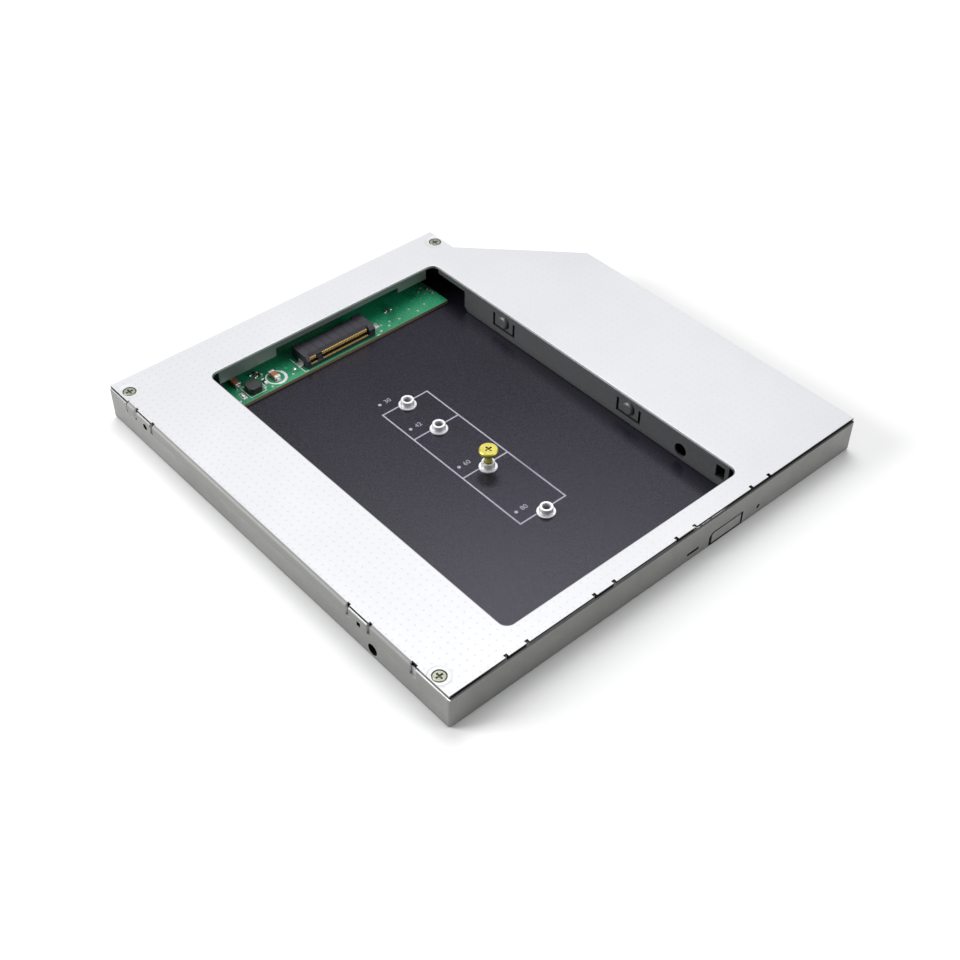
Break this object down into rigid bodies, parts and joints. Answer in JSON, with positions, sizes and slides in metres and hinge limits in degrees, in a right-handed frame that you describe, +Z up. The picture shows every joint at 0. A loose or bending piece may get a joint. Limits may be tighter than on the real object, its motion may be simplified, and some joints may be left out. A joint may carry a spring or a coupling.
{
  "type": "laptop drive caddy",
  "caption": "Slim bay caddy: folded steel tray and cover with a large window over a black board with standoffs, an edge socket for a drive module, a rear plug and a front eject button.",
  "frame": {"origin": "centre of the bounding box's underside, on the underside of the tray", "axes": "+Z up out of the window, -Y the front edge with the eject button, +Y the rear edge with the plug, -X the long straight side wall, +X the side with the cut-off corner"},
  "size_m": [0.128, 0.1268, 0.0095],
  "materials": {
    "cover_steel": "satin",
    "case_steel": "satin",
    "screw_nickel": "satin",
    "screw_brass": "polished",
    "button_plastic": "matte",
    "spring_steel": "satin",
    "board_black": "semi-gloss",
    "board_green": "gloss",
    "standoff_silver": "bright",
    "socket_black": "matte",
    "contact_gold": "bright",
    "solder_tin": "satin",
    "ferrite_dark": "matte",
    "ceramic_tan": "satin",
    "ceramic_black": "satin",
    "chip_black": "matte",
    "plug_black": "matte"
  },
  "bodies": {
    "frame": {"bottom_case": "case_steel", "top_cover": "cover_steel", "cover_screws": "screw_nickel", "button_bracket": "spring_steel", "bracket_rivets": "screw_nickel", "drive_board": "board_black", "converter_board": "board_green", "board_posts": "screw_nickel", "board_screws": "screw_nickel", "ssd_standoffs": "standoff_silver", "socket_housing": "socket_black", "socket_contacts_upper": "contact_gold", "socket_contacts_lower": "contact_gold", "socket_anchors": "solder_tin", "power_inductor": "ferrite_dark", "tan_capacitors": "ceramic_tan", "chip_resistors": "ceramic_black", "regulator_chip": "chip_black", "plug_housing": "plug_black", "plug_contacts": "contact_gold", "plug_pegs": "plug_black"},
    "button": {"eject_button": "button_plastic", "button_spring": "spring_steel"},
    "module_screw": {"ssd_screw": "screw_brass"}
  },
  "joints": [
    {"name": "button_press", "type": "slide", "parent": "frame", "child": "button", "axis": [0, 1, 0], "range_m": [0, 0.0008], "stiffness_N_per_m": 400},
    {"name": "module_screw_travel", "type": "slide", "parent": "frame", "child": "module_screw", "axis": [0, 0, 1], "range_m": [-0.0023, 0.0005]}
  ]
}
